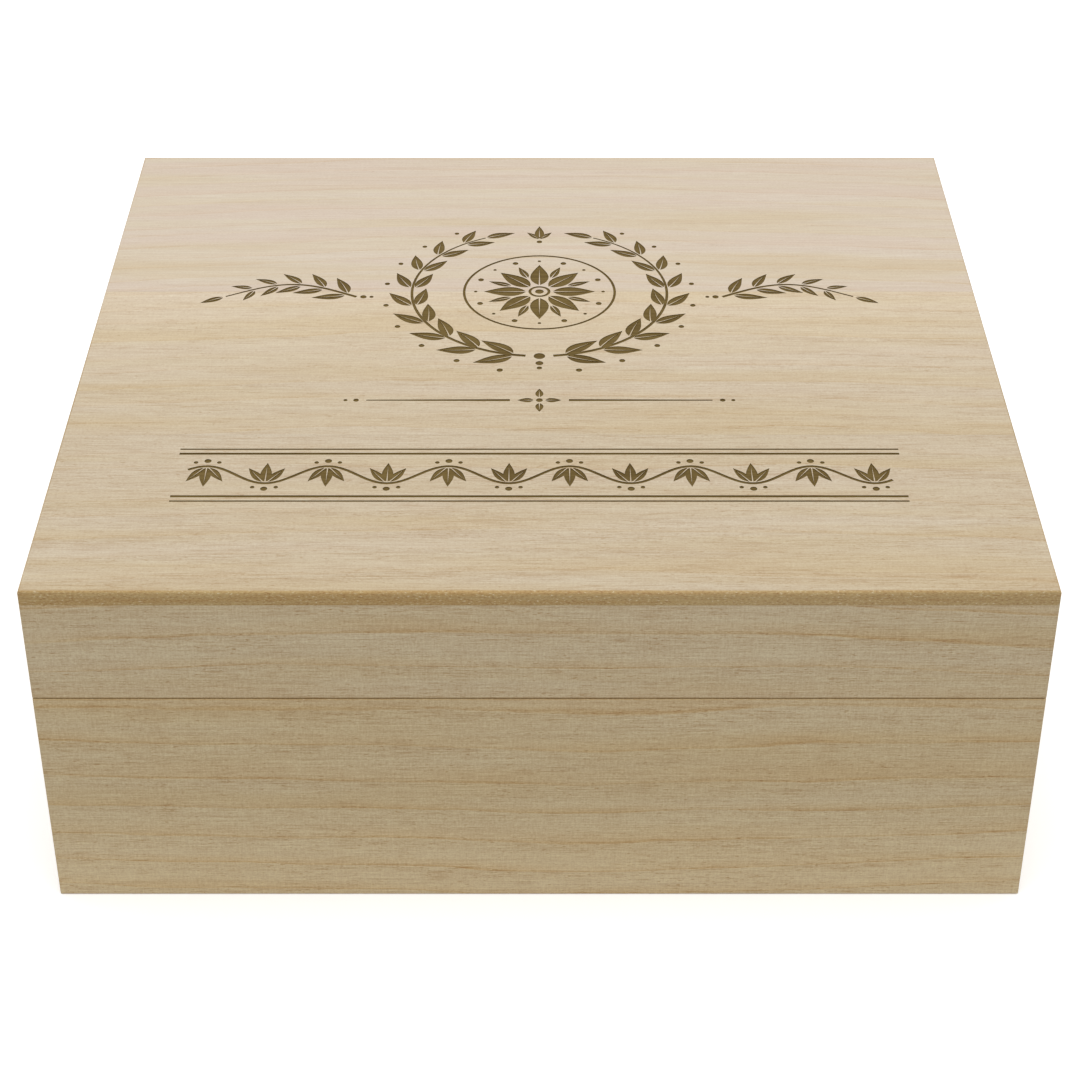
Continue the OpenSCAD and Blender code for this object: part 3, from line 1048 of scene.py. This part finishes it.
class KEEPSAKE_OT_dress_hinges(Operator):
    """Give the hinges' leaves and pins their brass"""

    bl_idname = "keepsake.dress_hinges"
    bl_label = "Dress the hinges"

    def execute(self, context):
        brass = context.scene.keepsake_brass
        lines = 1 / brass.brushing
        leaf = brass_material(brass, "brushed_brass", (lines / 40, lines, lines), 2.0)
        pin = brass_material(brass, "drawn_brass", (lines / 10, lines, lines), 8.0)
        for side in ("left", "right"):
            dress(f"{side}_hinge_base_leaf", leaf)
            dress(f"{side}_hinge_lid_leaf", leaf)
            dress(f"{side}_hinge_pin", pin)
        return {"FINISHED"}


class KEEPSAKE_OT_dress_screws(Operator):
    """Give the hinge screws their brass"""

    bl_idname = "keepsake.dress_screws"
    bl_label = "Dress the screws"

    def execute(self, context):
        brass = context.scene.keepsake_brass
        lines = 1 / brass.brushing
        metal = brass_material(brass, "screw_brass", (lines / 2, lines / 2, lines / 4), 14.0)
        dress("base_hinge_screws", metal)
        dress("lid_hinge_screws", metal)
        return {"FINISHED"}


class KEEPSAKE_OT_set_stage(Operator):
    """Set up the floor, the light and the camera"""

    bl_idname = "keepsake.set_stage"
    bl_label = "Set the stage"

    def execute(self, context):
        scene = context.scene
        stage = scene.keepsake_stage
        self.lay_floor(scene, stage)
        self.light(scene, stage)
        self.place_camera(scene, stage)
        scene.view_settings.view_transform = "Standard"
        return {"FINISHED"}

    def lay_floor(self, scene, stage):
        half = 6.0
        corners = [(x * half, y * half, 0.0) for x, y in ((-1, -1), (1, -1), (1, 1), (-1, 1))]
        mesh = bpy.data.meshes.new("floor")
        mesh.from_pydata(corners, [], [(0, 1, 2, 3)])
        material, tree, shader = new_material("white_floor")
        feed(tree, shader, {
            "Base Color": white_in_view(tree, WHITE, rgba((stage.floor_bounce,) * 3)),
            "Emission Color": white_in_view(tree, WHITE, BLACK), "Emission Strength": stage.floor_glow,
            "Roughness": 1.0, "Specular IOR Level": 0.0,
        })
        mesh.materials.append(material)
        floor = bpy.data.objects.new("floor", mesh)
        scene.collection.objects.link(floor)

    def light(self, scene, stage):
        world = bpy.data.worlds.new("white_room")
        world.use_nodes = True
        scene.world = world
        tree = world.node_tree
        background = tree.nodes["Background"]
        feed(tree, background, {"Color": white_in_view(tree, WHITE, rgba((stage.sky,) * 3)), "Strength": 1.0})
        lamp = bpy.data.lights.new("soft_key", "SUN")
        lamp.energy = stage.key
        lamp.angle = stage.key_spread
        soft_key = bpy.data.objects.new("soft_key", lamp)
        soft_key.rotation_euler = (stage.key_lean, 0.0, 0.0)
        scene.collection.objects.link(soft_key)

    def place_camera(self, scene, stage):
        lens = bpy.data.cameras.new("camera")
        lens.sensor_width = 36
        lens.lens = stage.lens
        camera = bpy.data.objects.new("camera", lens)
        camera.location = (stage.camera_side, BOX_LOW.y - stage.camera_distance, stage.camera_height)
        camera.rotation_euler = (math.pi / 2 - stage.camera_tilt, 0.0, 0.0)
        scene.collection.objects.link(camera)
        scene.camera = camera


class KEEPSAKE_PT_tools(Panel):
    """Lists the steps that finish the box"""

    bl_label = "Keepsake Box"
    bl_space_type = "VIEW_3D"
    bl_region_type = "UI"
    bl_category = "Keepsake Box"

    def draw(self, context):
        for group in SETTINGS:
            settings = getattr(context.scene, group)
            box = self.layout.box()
            for name in settings.__annotations__:
                box.prop(settings, name)
        for step in STEPS:
            self.layout.operator(step.bl_idname)


SETTINGS = {
    "keepsake_wood": KeepsakeWood,
    "keepsake_engraving": KeepsakeEngraving,
    "keepsake_brass": KeepsakeBrass,
    "keepsake_stage": KeepsakeStage,
}
STEPS = (
    KEEPSAKE_OT_dress_walls,
    KEEPSAKE_OT_dress_bottom,
    KEEPSAKE_OT_engrave_lid,
    KEEPSAKE_OT_dress_hinges,
    KEEPSAKE_OT_dress_screws,
    KEEPSAKE_OT_set_stage,
)


def register():
    for cls in (*SETTINGS.values(), *STEPS, KEEPSAKE_PT_tools):
        bpy.utils.register_class(cls)
    for name, cls in SETTINGS.items():
        setattr(bpy.types.Scene, name, PointerProperty(type=cls))


def unregister():
    for name in SETTINGS:
        delattr(bpy.types.Scene, name)
    for cls in reversed((*SETTINGS.values(), *STEPS, KEEPSAKE_PT_tools)):
        bpy.utils.unregister_class(cls)


def main():
    register()
    for step in STEPS:
        area, name = step.bl_idname.split(".")
        getattr(getattr(bpy.ops, area), name)()


if __name__ == "__main__":
    main()
